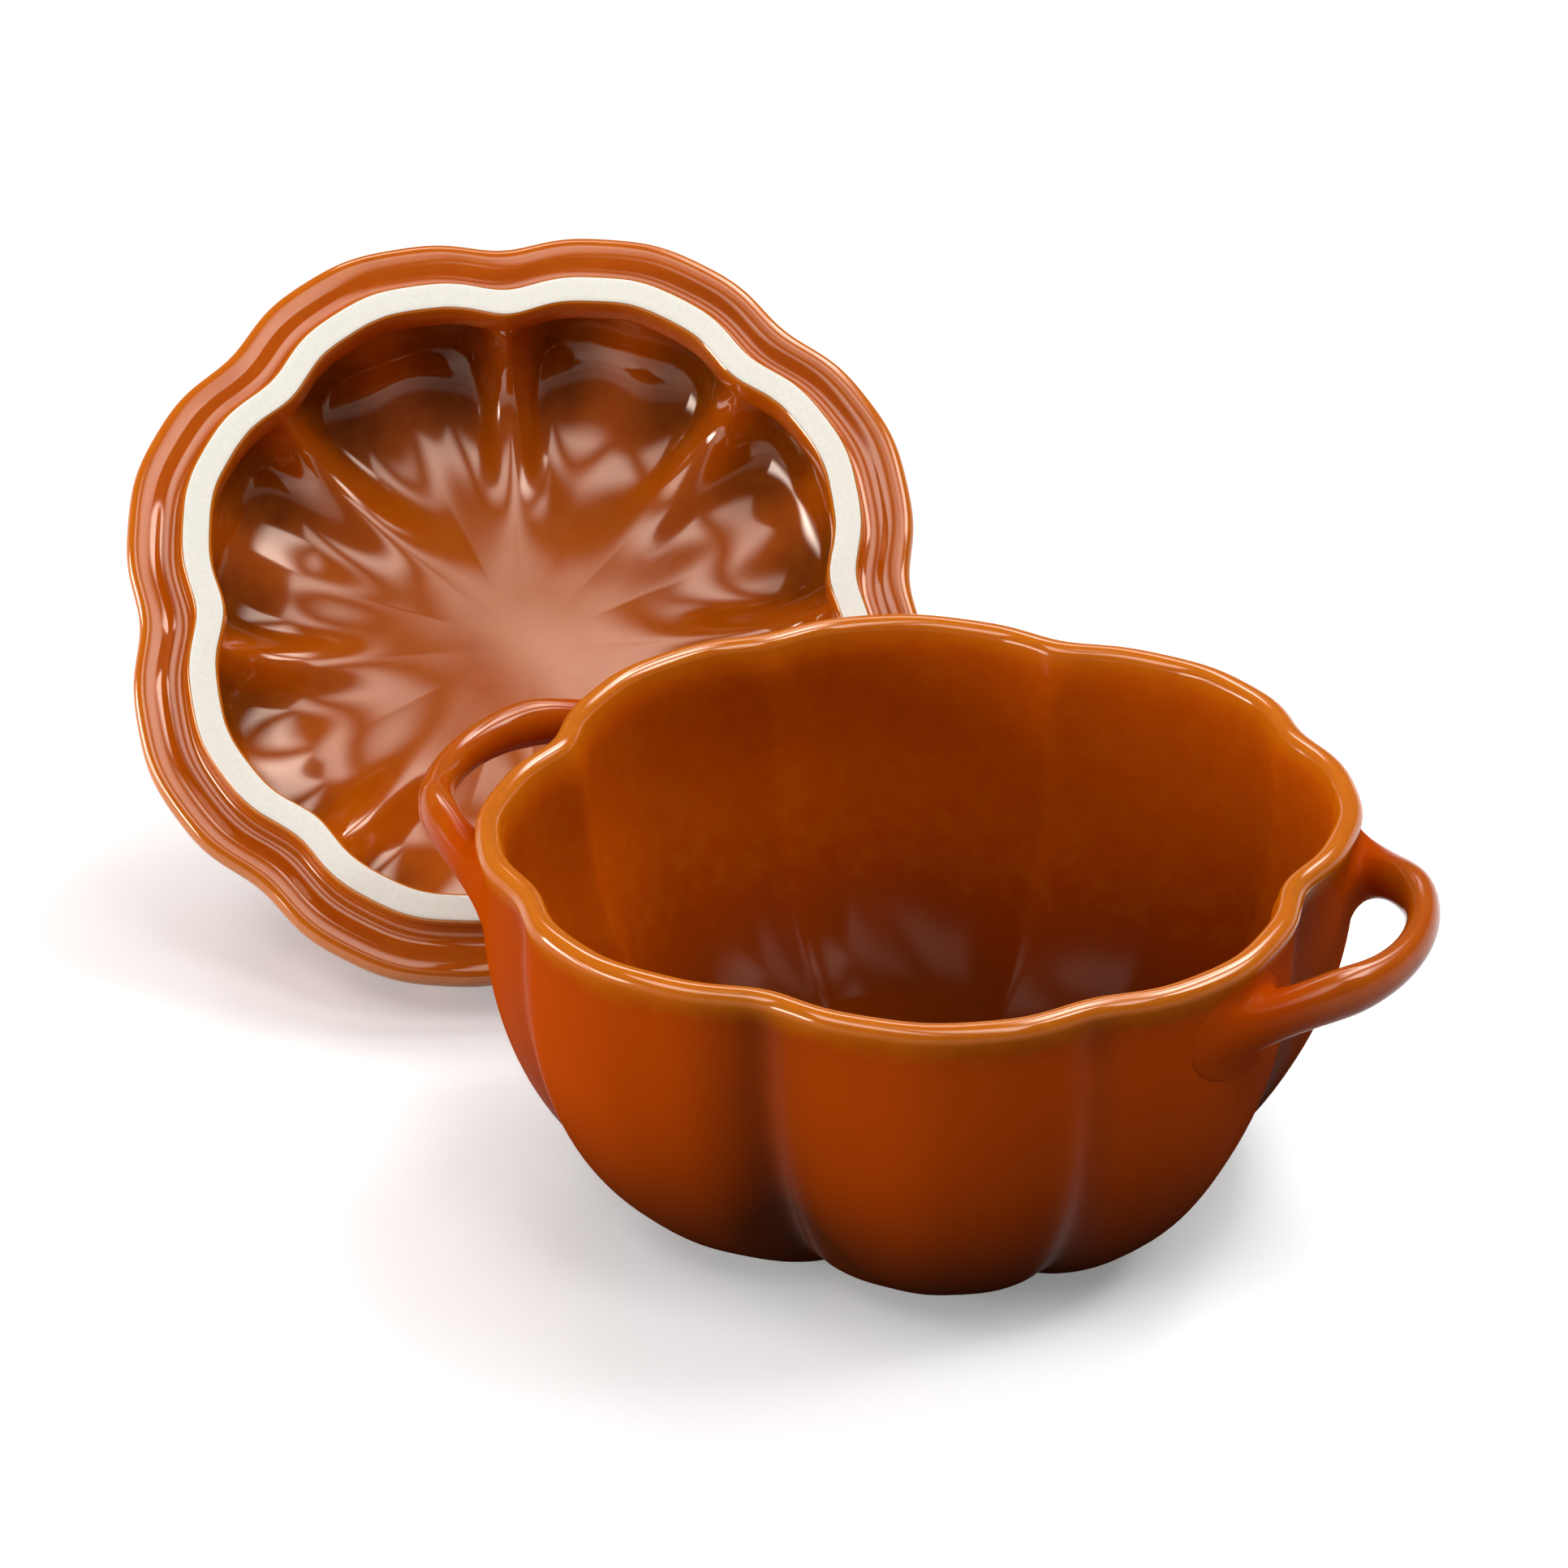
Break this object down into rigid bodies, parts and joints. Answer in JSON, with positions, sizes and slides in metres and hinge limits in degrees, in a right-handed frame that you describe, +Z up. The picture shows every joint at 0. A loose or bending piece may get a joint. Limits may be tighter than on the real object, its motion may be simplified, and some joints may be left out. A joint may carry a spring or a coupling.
{
  "type": "lidded cocotte",
  "caption": "Lobed pumpkin-shaped glazed stoneware cocotte with loop handles for baking and serving; its domed lid with a stem knob lies upturned beside the bowl.",
  "frame": {"origin": "centre of the bowl's flat base, on the surface that it stands on", "axes": "+Z up along the bowl's axis, +X through the right handle"},
  "size_m": [0.2708, 0.2033, 0.1101],
  "materials": {
    "bowl_glaze": "gloss glaze",
    "handle_glaze": "gloss glaze",
    "lid_glaze": "gloss glaze with an unglazed locating ring",
    "stem_glaze": "gloss glaze"
  },
  "bodies": {
    "pot_body": {"bowl": "bowl_glaze", "handle_left": "handle_glaze", "handle_right": "handle_glaze"},
    "lid_body": {"lid": "lid_glaze", "stem_knob": "stem_glaze"}
  },
  "joints": [
    {"name": "lid_lift", "type": "slide", "parent": "pot_body", "child": "lid_body", "axis": [-0.6023, 0.3705, 0.7071], "range_m": [0, 0.15]}
  ]
}
